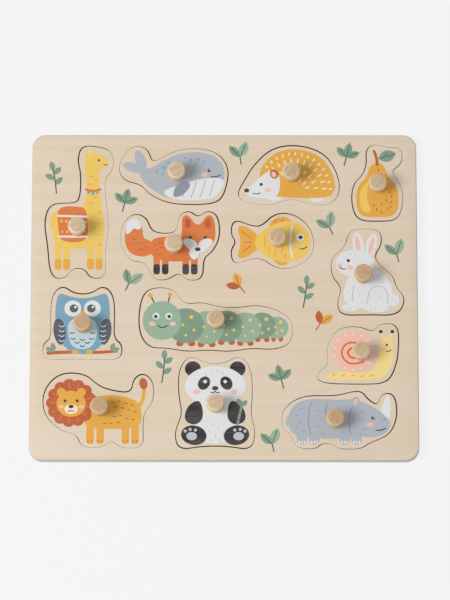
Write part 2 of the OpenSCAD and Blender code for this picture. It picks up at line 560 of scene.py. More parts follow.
def ring(x, y, radius, count):
    """Points evenly spaced round a circle."""
    bearings = [2 * math.pi * (i + 0.5) / count for i in range(count)]
    return [(x + radius * math.cos(a), y + radius * math.sin(a)) for a in bearings]


def turned(points, x, y, degrees):
    """Points turned about the origin, and then moved."""
    c = math.cos(math.radians(degrees))
    s = math.sin(math.radians(degrees))
    return [(x + px * c - py * s, y + px * s + py * c) for px, py in points]


def oval(x, y, across, up, turn=0.0, sides=8):
    """Control points of an ellipse from its half-widths, turned by degrees."""
    # The curve touches the middles of the polygon's sides, so the corners reach further out
    reach = 1 / math.cos(math.pi / sides)
    return turned([(px * across, py * up) for px, py in ring(0, 0, reach, sides)], x, y, turn)


def dot(x, y, radius):
    """Control points of a small round dot."""
    return oval(x, y, radius, radius, sides=6)


def bent_path(points, steps=6):
    """Points along a smooth open path that starts and ends at the first and last point."""
    if len(points) < 3:
        return [Vector(p) for p in points]
    corners = [Vector(p) for p in points]
    path = [corners[0]]
    for i in range(1, len(corners) - 1):
        start = corners[0] if i == 1 else (corners[i - 1] + corners[i]) / 2
        end = corners[-1] if i == len(corners) - 2 else (corners[i] + corners[i + 1]) / 2
        for k in range(1, steps + 1):
            t = k / steps
            path.append(start * (1 - t) ** 2 + corners[i] * 2 * t * (1 - t) + end * t * t)
    return path


def stroke(points, width, tip=1.0):
    """Control points of a brush stroke with round ends, whose far end is tip times as wide."""
    path = bent_path(points)
    near = width / 2
    far = near * tip
    # A point within a round end would fold it
    inner = [p for p in path[1:-1] if (p - path[0]).length > near and (p - path[-1]).length > far]
    path = [path[0]] + inner + [path[-1]]
    last = len(path) - 1
    left = []
    right = []
    for i, point in enumerate(path):
        along = (path[min(i + 1, last)] - path[max(i - 1, 0)]).normalized()
        side = Vector((-along.y, along.x)) * (near + (far - near) * i / last)
        left.append(point + side)
        right.append(point - side)
    back = (path[0] - path[1]).normalized()
    ahead = (path[-1] - path[-2]).normalized()
    start = [right[0] + back * near, left[0] + back * near]
    end = [left[-1] + ahead * far, right[-1] + ahead * far]
    # The sides start as far inside the ends as these reach outside, so that the ends are round
    room = (path[-1] - path[0]).length / 2
    for side in (left, right):
        side[0] -= back * min(near, room)
        side[-1] -= ahead * min(far, room)
    return [tuple(p) for p in start + left + end + right[::-1]]


def uprights(places, top, foot, width):
    """Control points of upright strokes, such as legs, one at each place along X."""
    return [stroke([(x, top), (x, foot)], width) for x in places]


def marks(places, steps, width):
    """Control points of short strokes, all alike, which run by steps from their places."""
    return [stroke([(x + dx, y + dy) for dx, dy in steps], width) for x, y in places]


def mirrored(points, middle=0.0):
    """Control points of a shape, and of its mirror image across an upright middle line."""
    return [points, [(2 * middle - x, y) for x, y in points]]


def leaf(x, y, size, width, turn):
    """Control points of a leaf with two sharp ends, from its stalk, turned by degrees."""
    base = [(0, 0), (0, 0), (0.3, 0.6), (0.7, 0.6), (1, 0), (1, 0), (0.7, -0.6), (0.3, -0.6)]
    return turned([(px * size, py * width) for px, py in base], x, y, turn)


def llama():
    """Yellow llama with a striped saddle cloth and a beaded collar."""
    legs = (-19, -10.5, 13.5, 22)
    fur = [
        (11.5, 58), (16.5, 54), (10.5, 50), (16.5, 36), (11.5, 30), (20.5, 20), (20.5, 8), (19.5, -4),
        (20.5, -14),
    ]
    return [
        ("yellow", uprights(legs, -10, -37, 7)),
        ("yellow", [[
            (-25, 0), (-28, 14), (-20, 24), (0, 23), (8, 27), (9, 52), (6, 70), (9, 81), (20, 82),
            (31, 77), (30, 67), (21, 66), (22, 46), (24, 22), (28, 4), (25, -19), (-22, -19),
        ]]),
        ("yellow", [
            stroke([(9, 77), (8, 85)], 4.4, 0.5), stroke([(15, 78), (16, 86)], 4.4, 0.5),
            stroke([(-23, 13), (-26.5, 10), (-26, 3)], 3.6),
        ]),
        ("ochre", uprights(legs, -33, -37.5, 7)),
        ("orange", [[(-21, 26), (-19, 2), (-17, -12), (9, -12), (11, 2), (9, 24), (0, 26)]]),
        ("white", [stroke([(-19.5, 16), (10, 15)], 2.2), stroke([(-17.8, -6), (9.6, -6)], 2.2)]),
        ("yellow", [dot(-16 + 5 * i, 10.5 - 0.2 * i, 1.3) for i in range(6)]),
        ("yellow", [dot(-15 + 4.6 * i, -1, 1.1) for i in range(6)]),
        ("ochre", marks(fur, [(0, 0), (1.5, -2), (3, 0)], 1.0)),
        ("coral", [stroke([(8.5, 44), (15, 41), (22.5, 44)], 2.2)]),
        ("blue", [dot(11, 41, 1.5), dot(15.3, 39.8, 1.7), dot(19.8, 41, 1.5)]),
        ("pink", [oval(19, 70.5, 2.2, 1.5)]),
        ("charcoal", [dot(21, 75, 1.1), stroke([(26, 70.5), (28, 69.6), (29.5, 70.4)], 0.8)]),
    ]


def whale():
    """Grey whale with a pleated white belly."""
    pleats = [
        ((38, -4.5), (36.5, -13), (33, -21)), ((29, -4.5), (27, -14), (23.5, -23)),
        ((20, -6), (18, -14), (14.5, -23)), ((11, -8.5), (9, -15), (6, -22.5)),
    ]
    spots = [
        (-20, 5, 1.3), (-13, 9, 1.6), (-14, 2, 1.1), (-8, 14, 1.2), (-5, 8, 1.0), (14, 17, 1.4),
        (20, 13, 1.0), (22, 18, 1.2), (9, 19, 1.1), (28, 15, 1.0),
    ]
    return [
        ("grey", [[
            (48, -9), (49, 11), (35, 25), (6, 26), (-14, 16), (-28, 7), (-38, 8), (-35, -5),
            (-23, -16), (-5, -25), (20, -26), (40, -23),
        ]]),
        ("grey", [oval(-36, 17, 5, 11, 22), oval(-43, 9, 5, 11, 72)]),
        ("white", [[
            (47, -2), (26, -2), (4, -9), (-16, -16), (-5, -25), (20, -26), (40, -23), (48, -9),
        ]]),
        ("grey", [stroke(pleat, 0.9) for pleat in pleats]),
        ("slate_blue", [[(6, -4), (16, -8), (8, -20), (-4, -24), (-2, -12)]]),
        ("blue", [dot(*spot) for spot in spots]),
        ("pink", [oval(28, 1.5, 3, 2)]),
        ("charcoal", [dot(33, 6, 1.7), stroke([(44, 1), (40, -1.5), (35, -0.5)], 1.0)]),
        ("white", [dot(33.6, 6.7, 0.6)]),
    ]


def spines():
    """Rows of short spines that follow the hedgehog's back, which is taller than round."""
    # Each row: its radius, its first and last angle, and the number and length of its spines
    rows = [(13, 24, 104, 5, 4.0), (21, 14, 124, 8, 4.0), (29, 9, 132, 11, 4.0), (36, 7, 138, 14, 2.6)]
    middle_x = 3
    middle_y = -18
    taller = 1.16
    drawn = []
    for radius, first, last, count, size in rows:
        for i in range(count):
            a = math.radians(first + (last - first) * i / (count - 1))
            x = middle_x + radius * math.cos(a)
            y = middle_y + radius * taller * math.sin(a)
            drawn.append(stroke([(x, y), (x + size * math.cos(a), y + size * math.sin(a))], 1.6, 0.6))
    return drawn


def hedgehog():
    """Ochre hedgehog with rows of cream spines."""
    return [
        ("white", [oval(-16, -22.5, 6.5, 2.8), oval(26, -23.5, 6.5, 3)]),
        ("ochre", [[
            (-22, -20), (-33, -4), (-29, 14), (-13, 28), (8, 30.5), (31, 22), (43, 3), (45, -15),
            (36, -23), (-4, -22),
        ]]),
        ("cream", spines()),
        ("white", [[
            (-20, 8), (-30, 1), (-38, -8), (-46, -13), (-46, -19), (-34, -23), (-14, -23), (-10, -8),
            (-13, 6),
        ]]),
        ("rust", [oval(-17, 3, 4.2, 5, 20)]),
        ("pink", [oval(-17.3, 2.6, 2.4, 3.1, 20), oval(-23, -14, 3.2, 2.2)]),
        ("charcoal", [
            oval(-44.5, -14.5, 2.5, 2.2), dot(-30, -8, 1.6),
            stroke([(-38, -17.5), (-34, -19), (-31, -17)], 0.9),
        ]),
    ]


def pear():
    """Ochre pear with a leaf on its stalk."""
    specks = [
        (12, -4), (9, -12), (14, -14), (4, -16), (10, -21), (-1, -22), (4, 15), (1, 20), (-3, 13), (4, -25),
        (13, -19), (14, -8), (-4, -17),
    ]
    return [
        ("ochre", [[
            (-22, -15), (-18.5, -30), (0, -31.5), (18.5, -30), (22, -15), (20, 2), (10, 12), (8, 23), (0, 28),
            (-8, 23), (-10, 12), (-20, 2),
        ]]),
        ("yellow", [[
            (-18.5, -12), (-15.5, -26), (-5, -27), (-11, -12), (-9, 4), (-6, 18), (-8.5, 8), (-16.5, 0),
        ]]),
        ("rust", marks(specks, [(0, 0), (0.4, -2.2)], 1.0)),
        ("rust", [stroke([(0, 25), (0, 32), (-3, 39)], 3, 0.9)]),
        ("leaf", [leaf(1, 31, 19, 10, 18)]),
        ("dark_leaf", [
            stroke([(3, 31.6), (10, 34), (17, 36)], 0.9), stroke([(8, 33.5), (10, 37)], 0.7),
            stroke([(11, 34.3), (14, 31.8)], 0.7),
        ]),
    ]


def fox():
    """Orange fox with a white-tipped brush."""
    legs = (-17, -8.5, 12, 20.5)
    face = 24
    fur = [(-20, 4), (-15, 6), (-18, -1), (-13, 1), (-16, -6), (-30, 2), (-36, 6), (-41, 10), (-35, -1)]
    return [
        ("orange", [[
            (-20, -5), (-31, -10), (-46, -5), (-50, 12), (-46, 29), (-37, 32.5), (-31, 22), (-31, 10),
            (-22, 8),
        ]]),
        ("white", [[(-48.5, 14), (-47, 29), (-37, 32.5), (-31.5, 22), (-36, 19), (-40, 22), (-44, 16)]]),
        ("orange", uprights(legs, -8, -24, 6.6)),
        ("charcoal", uprights(legs, -20, -24.3, 6.6)),
        ("orange", [[(-23, -14), (-25, 9.5), (-8, 13), (10, 9), (26, 4), (26, -14)]]),
        ("orange", [[
            (8, 16), (8, 34.5), (15, 35.5), (21, 25), (27, 25), (33, 35.5), (40, 34.5), (42, 16), (41, 8),
            (30, -4), (18, -4), (7, 8),
        ]]),
        ("white", mirrored([(7, 8), (14, 11), (22, 8), (24, 2), (24, -4), (18, -4)], face)),
        ("rust", mirrored([(11, 20), (11, 32), (15, 32), (18, 23)], face)),
        ("white", [[(15, -5), (17, 0), (27, 0), (25, -8), (21, -13), (17, -10)]]),
        ("charcoal", [oval(face, -1, 2.8, 2)] + mirrored(dot(16.5, 11.5, 1.5), face)),
        ("rust", marks(fur, [(0, 0), (2.4, -0.6)], 0.9)),
    ]


def fish():
    """Yellow fish with ochre fins and scales."""
    scales = [(5, 8), (5, 14), (-2, 11), (-9, 8), (4, -9), (-3, -11), (-9, -8), (-13, 3), (-13, -3), (7, -15)]
    fin_rays = [
        ((-26, 4), (-35, 11)), ((-26, 0), (-32, 0)), ((-26, -4), (-35, -11)), ((-2, 21), (0, 23.4)),
        ((4.5, 22), (6.5, 24.4)),
    ]
    return [
        ("ochre", [
            [(-12, 10), (-3, 27), (13, 26.5), (18, 14)], [(-6, -14), (0, -25), (11, -24.5), (12, -16)],
        ]),
        ("ochre", [[(-16, 4), (-29, 16.5), (-41, 18), (-35, 0), (-41, -18), (-29, -16.5), (-16, -4)]]),
        ("yellow", [[
            (35, 0), (30, 16), (11, 24), (-11, 16), (-26, 0), (-11, -16), (11, -23), (30, -15),
        ]]),
        ("white", [stroke([(15.5, 17), (11, 0), (15.5, -16.5)], 2.0)]),
        ("ochre", marks(scales, [(2, 2.6), (-1, 0), (2, -2.6)], 1.1)),
        ("orange", [stroke(ray, 1.2) for ray in fin_rays]),
        ("pink", [oval(19.5, -2, 2.8, 2)]),
        ("white", [dot(23, 5, 4)]),
        ("charcoal", [dot(23.8, 5, 2), stroke([(30, -5), (26.5, -8), (23, -7)], 1.0)]),
    ]


def rabbit():
    """White rabbit that sits up."""
    toes = [
        ((-16, -34), (-16, -32)), ((-12.5, -34.5), (-12.5, -32.3)), ((8, -34.5), (8, -32.4)),
        ((12, -34.8), (12, -32.6)),
    ]
    fur = [
        (-16, -14), (-13, -22), (-4, -18), (-2, -25), (13, -15), (18, -20), (13, -24), (21, -3), (15, 4),
        (-13, 27), (-8, 25), (-18, 24), (30, -21), (33, -25), (28, -27),
    ]
    return [
        ("white", [oval(-4.6, 36, 5.6, 14, 8), oval(8.8, 35.5, 5.2, 13.6, -14), oval(30.5, -24, 6.5, 6.5)]),
        ("pink", [oval(-5, 36, 2.6, 10, 8), oval(9.1, 35.5, 2.4, 9.8, -14)]),
        ("white", [
            [(-20, -32), (-20, -8), (-10, 8), (10, 12), (25.5, 3), (32, -17), (27, -35)],
            oval(-8.2, 16, 19.8, 14.6),
        ]),
        ("white", [oval(-13, -32, 9, 4.2), oval(14, -32.5, 13, 4.4)]),
        ("pale_grey", [
            stroke([(4, -28), (6, -10), (20, -8), (27, -18), (25, -27)], 1.0),
            stroke([(-9, -8), (-12, -18), (-10, -26)], 1.0),
        ]),
        ("pale_grey", [stroke(toe, 0.8) for toe in toes]),
        ("pale_grey", marks(fur, [(0, 0), (0.6, -2)], 0.6)),
        ("pink", [oval(-24, 14, 2.6, 2), oval(-13.5, 11.5, 3, 2.1)]),
        ("charcoal", [dot(-15, 19, 1.7), stroke([(-24, 12), (-21.5, 9), (-18, 10)], 0.9)]),
    ]


def owl():
    """Blue owl on a branch."""
    feathers = [(-9, -11), (9, -11), (-5, -15), (0, -12), (5, -15), (0, -18.5), (-10, -5), (10, -5)]
    return [
        ("rust", [stroke([(-33, -26), (-10, -24.5), (12, -26), (33, -24)], 3.6, 0.8)]),
        ("leaf", [
            leaf(-28, -25, 9, 4, 148), leaf(-27, -24, 9, 4, 108), leaf(28, -24, 9, 4, 70),
            leaf(29, -24, 8, 3.6, 22),
        ]),
        ("blue", [[
            (-22, -16), (-27.5, 8), (-25, 37), (-14, 32), (0, 29.5), (14, 32), (25, 37), (27.5, 8), (22, -16),
            (8, -27), (-8, -27),
        ]]),
        ("pale_blue", [[(-15, -4), (-13, 8), (0, 11), (13, 8), (15, -4), (10, -22), (-10, -22)]]),
        ("slate", mirrored([(-27.5, 10), (-29, -8), (-20.5, -21), (-15, -8), (-18.5, 8)])),
        ("pale_blue", [
            stroke([(side * 22.5, 2 - 5 * i), (side * 20, -0.5 - 5 * i), (side * 17.8, 2 - 5 * i)], 1.0)
            for side in (-1, 1)
            for i in range(4)
        ]),
        ("slate", marks(feathers, [(-2, 0), (0, -2.2), (2, 0)], 1.0)),
        ("white", mirrored(dot(-9.5, 19.5, 8.2))),
        ("slate", mirrored(dot(-8.5, 19.5, 4.2))),
        ("white", [dot(-7, 21, 1.3), dot(10, 21, 1.3)]),
        ("ochre", [[(-3.5, 17), (3.5, 17), (1.5, 9), (-1.5, 9)]]),
        ("ochre", mirrored(oval(-7, -25, 3.4, 2.2))),
    ]


def inchworm():
    """Green inchworm with a smiling face and spotted rings."""
    rings = [(62, -4, 11.5), (47, -2, 14), (30, -4, 16), (11, -2.5, 16.5), (-9, -4, 17.5), (-30, -2, 18.5)]
    spots = [(0.3, 0.5, 1.9), (-0.15, 0.05, 1.4), (0.45, -0.25, 1.5), (0.0, -0.55, 1.3)]
    face = -53.5
    feet = [oval(x + side * r, y - r - 0.3, 0.2 * r, 3) for x, y, r in rings for side in (-0.32, 0.32)]
    body = [
        ("leaf" if i % 2 else "green", [oval(x, y, r, r)]) for i, (x, y, r) in enumerate(rings)
    ]
    return [("rust", feet)] + body + [
        ("dark_leaf", [
            stroke([(-60, 16), (-63, 26), (-66, 30)], 1.4), stroke([(-49, 18), (-47, 26), (-46, 31)], 1.4),
        ]),
        ("ochre", [dot(-66, 30, 2.4), dot(-46, 31, 2.4)]),
        ("green", [oval(-54, 3.5, 19.5, 20.5)]),
        ("yellow", [dot(x + dx * r, y + dy * r, size) for x, y, r in rings for dx, dy, size in spots]),
        ("pink", mirrored(oval(-64, 0, 3.2, 2.3), face)),
        ("white", mirrored(dot(-60, 8, 3.6), face)),
        ("charcoal", mirrored(dot(-60.3, 7.6, 1.8), face)),
        ("charcoal", [stroke([(-58, -2), (face, -6), (-49, -2)], 1.1)]),
    ]


def snail():
    """Snail with a pink spiral shell."""
    shell_x = -8
    shell_y = 4
    points_a_turn = 8
    spiral = []
    for i in range(2 * points_a_turn):
        bearing = 2 * math.pi * i / points_a_turn
        radius = 2.2 + 7 * i / points_a_turn
        spiral.append((shell_x + radius * math.cos(bearing), shell_y + radius * math.sin(bearing)))
    shell_dots = ring(shell_x, shell_y, 19.8, 14)
    foot_marks = [
        ((-30, -22), (-27, -20.5)), ((-20, -22), (-17, -21)), ((-10, -22.5), (-7, -21.5)),
        ((0, -23), (3, -22)), ((10, -22.5), (13, -21)),
    ]
    return [
        ("cream_yellow", [[
            (-38, -25.5), (-38, -25.5), (-28, -16.5), (8, -20), (18, -8), (19, 12), (24, 21), (34, 19),
            (34.5, 2), (31.5, -15), (21, -27.5),
        ]]),
        ("cream_yellow", [stroke([(24, 14), (21, 26)], 2.2), stroke([(29, 14), (33, 26)], 2.2)]),
        ("pink", [oval(shell_x, shell_y, 23.5, 23)]),
        ("coral", [stroke(spiral, 2.4, 0.8)]),
        ("white", [dot(x, y, 1.1) for x, y in shell_dots]),
        ("ochre", [stroke(mark, 1.2) for mark in foot_marks]),
        ("pink", [oval(24, 7, 2.6, 1.9)]),
        ("charcoal", [
            dot(21, 26, 1.9), dot(33, 26, 1.9), dot(27, 11.5, 1.2),
            stroke([(31.5, 6), (29, 3.6), (26.5, 4.4)], 0.9),
        ]),
    ]


def lion():
    """Ochre lion with a scalloped rust mane."""
    legs = (-9, 1, 26, 35.5)
    face = -28
    fur = [
        (12, 9), (18, 10), (25, 8), (31, 6), (15, 4), (22, 3), (28, 1), (34, -1), (14, -6), (20, -5),
        (26, -8), (32, -9), (18, -12), (10, -13), (4, -13),
    ]
    curls = ring(face, 8, 19, 13)
    locks = zip(ring(face, 8, 16, 13), ring(face, 8, 20.5, 13))
    return [
        ("ochre", [stroke([(34, 2), (46, 6), (44, 26)], 3.6)]),
        ("rust", [oval(43.5, 28, 4, 6, 10)]),
        ("ochre", uprights(legs, -10, -31, 7.4)),
        ("ochre", [[(-18, -19), (-18, 8), (0, 16.5), (24, 15.5), (40.5, 9), (42.5, -8), (39, -19)]]),
        ("rust", uprights([x + toe for x in legs for toe in (-2, 1.6)], -32.5, -30.5, 0.8)),
        ("rust", marks(fur, [(0, 0), (2.6, -0.5)], 1.0)),
        ("rust", [oval(x, y, 6, 6) for x, y in curls] + [oval(face, 8, 20, 20)]),
        ("orange", [stroke(lock, 1.2) for lock in locks]),
        ("ochre", mirrored(oval(-38, 19, 4.4, 4.4), face) + [oval(face, 7, 14.5, 13.5)]),
        ("cream", [oval(face, 1.5, 6.6, 5)]),
        ("pink", mirrored(oval(-38, 4, 2.6, 1.9), face)),
        ("charcoal", [oval(face, 4.2, 2.6, 1.8)] + mirrored(dot(-34, 10, 1.5), face)),
        ("charcoal", mirrored(stroke([(-31, 0), (-29.5, -1.6), (face, 0.2)], 0.8), face)),
    ]


def panda():
    """Black and white panda that holds a bamboo cane."""
    pads = [(28, -23), (23.5, -21.3), (18.5, -22)]
    fur = [
        (-4, 35.5), (2, 37), (7, 34.5), (-9, 33.5), (-3, -15), (3, -18), (-6, -22), (7, -24), (0, -27),
        (-4, -30), (4, -31),
    ]
    return [
        ("charcoal", mirrored(oval(-21, 38, 7.5, 7.5))),
        ("white", [oval(0, -10, 25, 25), oval(0, 21.5, 28.5, 19.3)]),
        ("charcoal", mirrored([(-16, 8), (-26, 2), (-30, -12), (-20, -18), (-11, -12), (-12, 2)])),
        ("pale_grey", marks(fur, [(0, 0), (0.5, -2.4)], 0.7)),
        ("charcoal", mirrored(oval(-20, -27, 12, 9.5, -12))),
        ("pale_grey", mirrored(oval(-22, -28, 5, 4))),
        ("pale_grey", [dot(side * x, y, 1.5) for side in (-1, 1) for x, y in pads]),
        ("leaf", [stroke([(21, -16), (25, 2)], 2.4)]),
        ("dark_leaf", [
            stroke([(20.8, -11.5), (23, -12)], 0.9), stroke([(22.2, -5), (24.4, -5.5)], 0.9),
        ]),
        ("leaf", [leaf(25, 1, 9, 4, 118), leaf(25, 1, 8, 3.6, 52)]),
        ("charcoal", mirrored(oval(-10.5, 24, 5.4, 6.8, -28)) + [oval(0, 19, 3, 2.1)]),
        ("charcoal", mirrored(stroke([(-4, 15), (-2, 13.6), (0, 16)], 0.9))),
        ("white", mirrored(dot(-9.4, 25.5, 1.7))),
        ("pink", mirrored(oval(-17.5, 15.5, 3.2, 2.2))),
    ]


def rhino():
    """Grey rhino with folds in its skin and a white horn."""
    legs = (-34, -21, 10, 22)
    wrinkles = [
        (-40, 8), (-37, 0), (-41, -5), (-36, 15), (-33, -9), (-19, 13), (-15, 4), (-19, -4), (-14, -11),
        (2, 16), (7, -10), (27, 12), (25, 2), (29, -7), (24, -12),
    ]
    return [
        ("grey", [stroke([(-44, 10), (-50.5, 5), (-49, -3)], 2.4)]),
        ("white", [[(45, 8), (51.5, 28), (57, 30), (57.5, 12), (55, 2)]]),
        ("grey", uprights(legs, -8, -18.4, 10.5)),
        ("grey", [[
            (-42, -17), (-49.5, 0), (-44, 20), (-24, 26.5), (4, 24), (20, 26), (36, 19), (51, 9), (58.5, -2),
            (51.5, -12.5), (38.5, -16.5), (28, -15), (20, -17),
        ]]),
        ("grey", [oval(21, 22.5, 4, 5.6, -18)]),
        ("pink", [oval(21, 22.5, 1.8, 3.4, -18), oval(36, -2, 3.2, 2.2)]),
        ("slate_blue", [
            stroke([(18, 17), (12, 6), (16, -13)], 1.1), stroke([(-24, 22), (-30, 6), (-25, -13)], 1.1),
            stroke([(-8, 20), (-10, 12), (-9, 8)], 1.1), stroke([(50, 3), (51.5, 4)], 1.4),
        ]),
        ("slate_blue", marks(wrinkles, [(0, 0), (1.6, -0.9), (3.2, 0)], 0.7)),
        ("white", uprights([x + toe for x in legs for toe in (-2.8, 0, 2.8)], -21.9, -20.2, 1.6)),
        ("charcoal", [dot(39, 5, 1.7), stroke([(52, -6), (47, -9), (42, -8)], 1.0)]),
        ("white", [dot(39.6, 5.7, 0.6)]),
    ]


def three_leaves():
    """Sprig of three green leaves."""
    return [
        ("leaf", [leaf(0, 0, 9, 3.6, 90), leaf(0, 0, 8, 3.4, 35), leaf(0, 0, 8, 3.4, 145)]),
        ("dark_leaf", [
            stroke([(0, 1), (0, 7)], 0.5), stroke([(0.5, 0.5), (5, 3.8)], 0.5),
            stroke([(-0.5, 0.5), (-5, 3.8)], 0.5), stroke([(0, 0), (0, -5)], 0.7),
        ]),
    ]


def branch():
    """Upright twig with four small leaves."""
    return [
        ("leaf", [
            leaf(0, 2, 6, 2.6, 40), leaf(0, 5, 6, 2.6, 140), leaf(0, 8, 6, 2.6, 40), leaf(0, 10, 6, 2.6, 95),
        ]),
        ("dark_leaf", [stroke([(0, -3), (0.4, 4), (0, 11)], 0.7)]),
    ]


def two_leaves():
    """Pair of leaves in two greens."""
    return [
        ("green", [leaf(0, 0, 10, 4.2, 60)]),
        ("leaf", [leaf(0, 0, 9, 3.6, 125)]),
        ("dark_leaf", [
            stroke([(0, -4), (0, 0)], 0.7), stroke([(0.5, 1), (4, 7)], 0.5),
            stroke([(-0.5, 0.8), (-4, 6)], 0.5),
        ]),
    ]


def autumn_leaves():
    """Pair of leaves in autumn colours."""
    return [
        ("ochre", [leaf(0, 0, 9, 4, 70)]),
        ("rust", [
            leaf(0, 0, 8, 3.4, 130), stroke([(0, -4), (0, 0)], 0.7), stroke([(0.3, 1), (2.4, 6.6)], 0.5),
        ]),
    ]


DRAWINGS = {
    drawn.__name__: drawn
    for drawn in (
        llama, whale, hedgehog, pear, fox, fish, rabbit, owl, inchworm, snail, lion, panda, rhino,
        three_leaves, branch, two_leaves, autumn_leaves,
    )
}
BEND_STEPS = 4
# A handle this far along a side makes the bend the same parabola that the sawn outlines have
HANDLE_SHARE = 2 / 3


def flat_shape(points, unit, low, high, place, turn):
    """Filled flat curve that touches each side of a control polygon at its middle, from low to high."""
    bpy.ops.object.add(type="CURVE", location=(place.x, place.y, (low + high) / 2), rotation=(0, 0, turn))
    shape = bpy.context.object
    shape.data.dimensions = "2D"
    shape.data.fill_mode = "BOTH"
    shape.data.resolution_u = BEND_STEPS
    shape.data.extrude = (high - low) / 2
    outline = shape.data.splines.new("BEZIER")
    outline.bezier_points.add(len(points) - 1)
    outline.use_cyclic_u = True
    corners = [Vector((x * unit, y * unit, 0)) for x, y in points]
    for i, point in enumerate(outline.bezier_points):
        middle = (corners[i - 1] + corners[i]) / 2
        point.co = middle
        point.handle_left_type = "FREE"
        point.handle_right_type = "FREE"
        point.handle_left = middle.lerp(corners[i - 1], HANDLE_SHARE)
        point.handle_right = middle.lerp(corners[i], HANDLE_SHARE)
    return shape


def print_films(settings, layers, unit, place, top, turn=0.0):
    """One film of ink for each shape of a drawing, each a hair higher than the one before."""
    size = settings.size
    films = []
    for ink, shapes in layers:
        for points in shapes:
            high = top + size.ink_film + size.film_step * len(films)
            film = flat_shape(points, unit, top - size.film_root, high, place, turn)
            film.data.materials.append(ink_material(settings, ink))
            films.append(film)
    return films


def join_films(films, name):
    """Turns the films of a print into one mesh that sits at the origin."""
    bpy.ops.object.select_all(action="DESELECT")
    for film in films:
        film.select_set(True)
    bpy.context.view_layer.objects.active = films[0]
    bpy.ops.object.convert(target="MESH")
    bpy.ops.object.join()
    piece = bpy.context.object
    piece.name = name
    piece.data.name = name
    bpy.ops.object.transform_apply(location=True, rotation=True, scale=True)
    bpy.ops.object.mode_set(mode="EDIT")
    bpy.ops.mesh.select_all(action="SELECT")
    bpy.ops.mesh.remove_doubles(threshold=MERGE_DISTANCE)
    bpy.ops.mesh.normals_make_consistent(inside=False)
    bpy.ops.object.mode_set(mode="OBJECT")
    bpy.ops.object.shade_flat()
    return piece


# Knobs

KNOB_SIDES = 48
FLARE_STEPS = 8
CROWN_STEPS = 6
# Corner that the hollow flare bends round: out from the foot, and share of the way up
FLARE_OUT = 0.4 * MM
FLARE_UP = 0.45
# Least upward part of the normal of a knob's flat top
FACES_UP = 0.999


def knob_profile(size, rim, low, face, high):
    """Radius and height of each ring of a knob, from the foot of its tenon up to its flat top."""
    rim_low = high - size.crown - size.band
    foot = size.foot / 2
    rings = [(size.tenon / 2, low), (size.tenon / 2, face), (foot, face)]
    for k in range(1, FLARE_STEPS + 1):
        t = k / FLARE_STEPS
        radius = (1 - t) ** 2 * foot + 2 * t * (1 - t) * (foot + FLARE_OUT) + t * t * rim
        height = face + (rim_low - face) * (2 * t * (1 - t) * FLARE_UP + t * t)
        rings.append((radius, height))
    for k in range(CROWN_STEPS + 1):
        slope = math.radians(90) * k / CROWN_STEPS
        radius = rim - size.crown + size.crown * math.cos(slope)
        rings.append((radius, high - size.crown + size.crown * math.sin(slope)))
    return rings


def turned_knob(rings):
    """Knob on the Z axis, drawn up ring by ring from a disc."""
    radius, height = rings[0]
    bpy.ops.object.select_all(action="DESELECT")
    bpy.ops.mesh.primitive_circle_add(
        vertices=KNOB_SIDES, radius=radius, fill_type="NGON", location=(0, 0, height)
    )
    knob = bpy.context.object
    bpy.ops.object.mode_set(mode="EDIT")
    bpy.ops.mesh.select_all(action="SELECT")
    for (radius, height), (next_radius, next_height) in zip(rings, rings[1:]):
        rise = (0, 0, next_height - height)
        bpy.ops.mesh.extrude_region_move(TRANSFORM_OT_translate={"value": rise})
        grow = next_radius / radius
        bpy.ops.transform.resize(value=(grow, grow, 1), center_override=(0, 0, next_height))
    bpy.ops.mesh.select_all(action="SELECT")
    bpy.ops.mesh.normals_make_consistent(inside=False)
    bpy.ops.object.mode_set(mode="OBJECT")
    bpy.ops.object.transform_apply(location=True, rotation=True, scale=True)
    bpy.ops.object.shade_smooth_by_angle(angle=SHARP_ANGLE)
    return knob


# Operators

FLOOR_SIZE = 60
FLOOR_DROP = 0.2 * MM
# Middle of the camera's view, a little in front of the board's middle, on its face
CAMERA_AIM = (0.7 * MM, -3.9 * MM, 9 * MM)
SENSOR_MM = 36
FAR_CLIP = 100


class PUZZLE_OT_backing_board(bpy.types.Operator):
    """White-faced hardboard that closes the recesses from below"""

    bl_idname = "peg_puzzle.backing_board"
    bl_label = "Backing board"

    def execute(self, context):
        settings = context.scene.peg_puzzle
        piece = sawn_copy("backing_board", "hardboard_back", settings.size.edge_round)
        piece.data.materials.append(white_hardboard(settings.wood))
        put_in_place(piece, "board", "backing_board")
        return {"FINISHED"}


class PUZZLE_OT_tray(bpy.types.Operator):
    """Plywood tray with a laser-cut opening for each figure"""

    bl_idname = "peg_puzzle.tray"
    bl_label = "Tray"

    def execute(self, context):
        settings = context.scene.peg_puzzle
        piece = sawn_copy("tray", "plywood_tray", settings.size.edge_round)
        low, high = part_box("tray")
        piece.data.materials.append(birch_veneer(settings.wood))
        piece.data.materials.append(ply_edge(settings.wood, low.z))
        piece.data.materials.append(scorched_cut(settings.wood))
        veneer, edge, cut = range(3)
        for face in piece.data.polygons:
            inset = min(high.x - abs(face.center.x), high.y - abs(face.center.y))
            if inset < OUTER_EDGE:
                face.material_index = veneer if is_flat(face) else edge
            else:
                face.material_index = cut if is_upright(face) else veneer
        put_in_place(piece, "board", "tray")
        return {"FINISHED"}


class PUZZLE_OT_figures(bpy.types.Operator):
    """Lift-out figures, cut from the same sheet as the tray"""

    bl_idname = "peg_puzzle.figures"
    bl_label = "Figures"

    def execute(self, context):
        settings = context.scene.peg_puzzle
        veneer, cut = range(2)
        for name in FIGURES:
            piece = sawn_copy(name + "_piece", name + "_figure", settings.size.edge_round)
            piece.data.materials.append(bpy.data.materials["birch_veneer"])
            piece.data.materials.append(bpy.data.materials["scorched_cut"])
            for face in piece.data.polygons:
                face.material_index = cut if is_upright(face) else veneer
            put_in_place(piece, name, name + "_piece")
        return {"FINISHED"}


